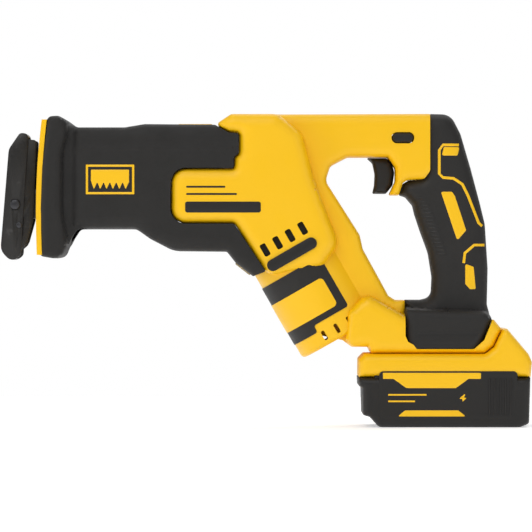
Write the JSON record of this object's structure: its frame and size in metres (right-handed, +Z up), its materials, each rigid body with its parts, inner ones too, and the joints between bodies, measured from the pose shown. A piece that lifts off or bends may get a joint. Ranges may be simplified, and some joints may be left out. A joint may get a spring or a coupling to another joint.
{
  "type": "reciprocating saw",
  "caption": "Cordless reciprocating saw with a rubber nose boot, pivoting shoe, keyless blade clamp, trigger, soft-grip handle and slide-on battery pack.",
  "frame": {"origin": "centre of the whole saw's box in X and Y, on the flat underside of the battery pack", "axes": "+X towards the handle and battery, away from the blade; +Y to the saw's right side; +Z up"},
  "size_m": [0.3689, 0.076, 0.2179],
  "materials": {
    "yellow_plastic": "moulded, fine spark texture",
    "soft_black": "overmoulded soft grip, matte",
    "black_plastic": "moulded, fine texture",
    "boot_rubber": "matte moulded rubber",
    "cast_aluminium": "die cast",
    "fastener_steel": "black zinc",
    "ground_steel": "ground",
    "sintered_bronze": "sintered, oiled",
    "black_steel": "black oxide",
    "copper": "enamelled copper",
    "lens": "moulded clear lens",
    "circuit": "coated board",
    "cell_wrap": "shrink wrap",
    "label": "printed film"
  },
  "bodies": {
    "housing": {"left_shell": "yellow_plastic", "right_shell": "yellow_plastic", "left_grip": "soft_black", "right_grip": "soft_black", "left_motor_band": "soft_black", "right_motor_band": "soft_black", "left_motor_panel": "yellow_plastic", "right_motor_panel": "yellow_plastic", "nose_boot": "boot_rubber", "nose_rim": "yellow_plastic", "gear_case": "cast_aluminium", "gear_case_cover": "cast_aluminium", "gear_case_screws": "fastener_steel", "front_bushing": "sintered_bronze", "rear_bushing": "sintered_bronze", "plunger_seal": "boot_rubber", "shoe_post": "black_steel", "crank_bearings": "fastener_steel", "motor_front_bearing": "fastener_steel", "motor_rear_bearing": "fastener_steel", "motor_end_plate": "black_plastic", "stator_core": "ground_steel", "stator_windings": "copper", "switch_module": "black_plastic", "control_module": "cast_aluminium", "terminal_block": "black_plastic", "work_light_lens": "lens", "work_light_board": "circuit", "housing_screws": "fastener_steel", "side_badges": "label", "vent_bars": "black_plastic", "top_plate": "yellow_plastic"},
    "plunger_body": {"plunger": "ground_steel", "blade_clamp": "ground_steel", "clamp_pin": "ground_steel"},
    "collar_body": {"clamp_collar": "black_plastic"},
    "roller_body": {"crank_roller": "ground_steel"},
    "crank_body": {"crank_gear": "ground_steel", "crank_shaft": "ground_steel", "crank_counterweight": "ground_steel"},
    "rotor_body": {"rotor_core": "ground_steel", "motor_shaft": "ground_steel", "motor_pinion": "ground_steel", "cooling_fan": "black_plastic"},
    "shoe_body": {"shoe": "black_steel", "shoe_bracket": "black_steel", "shoe_rivets": "fastener_steel"},
    "trigger_body": {"trigger": "black_plastic", "trigger_spring": "ground_steel"},
    "lock_off_body": {"lock_off_button": "black_plastic"},
    "battery": {"pack_lower_case": "black_plastic", "pack_upper_case": "yellow_plastic", "pack_cells": "cell_wrap", "pack_cell_holder": "black_plastic", "pack_contacts": "copper", "pack_labels": "label", "pack_screws": "fastener_steel"},
    "latch_body": {"pack_latch": "black_plastic"},
    "gauge_body": {"gauge_button": "black_plastic"}
  },
  "joints": [
    {"name": "shoe_tilt", "type": "hinge", "parent": "housing", "child": "shoe_body", "pos_m": [-0.1744, 0, 0.1546], "axis": [0, 1, 0], "range_deg": [-14, 4]},
    {"name": "plunger_stroke", "type": "slide", "parent": "housing", "child": "plunger_body", "axis": [1, 0, 0], "range_m": [-0.0143, 0.0143]},
    {"name": "collar_twist", "type": "hinge", "parent": "plunger_body", "child": "collar_body", "pos_m": [-0.136, 0, 0.1735], "axis": [1, 0, 0], "range_deg": [0, 60], "stiffness_Nm_per_rad": 0.1, "springref_deg": -11.46},
    {"name": "roller_slide", "type": "slide", "parent": "plunger_body", "child": "roller_body", "axis": [0, 0, 1], "range_m": [-0.0286, 0]},
    {"name": "crank_spin", "type": "hinge", "parent": "housing", "child": "crank_body", "pos_m": [-0.01, 0, 0.1735], "axis": [0, 1, 0], "continuous": true},
    {"name": "rotor_spin", "type": "hinge", "parent": "housing", "child": "rotor_body", "pos_m": [-0.01, 0, 0.1735], "axis": [0.5, 0, -0.866], "continuous": true},
    {"name": "trigger_pull", "type": "slide", "parent": "housing", "child": "trigger_body", "axis": [1, 0, 0], "range_m": [0, 0.006], "stiffness_N_per_m": 800, "springref_m": -0.004},
    {"name": "lock_off_push", "type": "slide", "parent": "housing", "child": "lock_off_body", "axis": [0, -1, 0], "range_m": [0, 0.003]},
    {"name": "battery_slide", "type": "slide", "parent": "housing", "child": "battery", "axis": [1, 0, 0], "range_m": [0, 0.095]},
    {"name": "latch_press", "type": "slide", "parent": "battery", "child": "latch_body", "axis": [-0.7638, 0, -0.6455], "range_m": [0, 0.0025], "stiffness_N_per_m": 1500, "springref_m": -0.001},
    {"name": "gauge_press", "type": "slide", "parent": "battery", "child": "gauge_body", "axis": [-1, 0, 0], "range_m": [0, 0.0008], "stiffness_N_per_m": 500, "springref_m": -0.001}
  ],
  "couplings": [
    {"joint": "rotor_spin", "follows": "crank_spin", "ratio": -6}
  ]
}
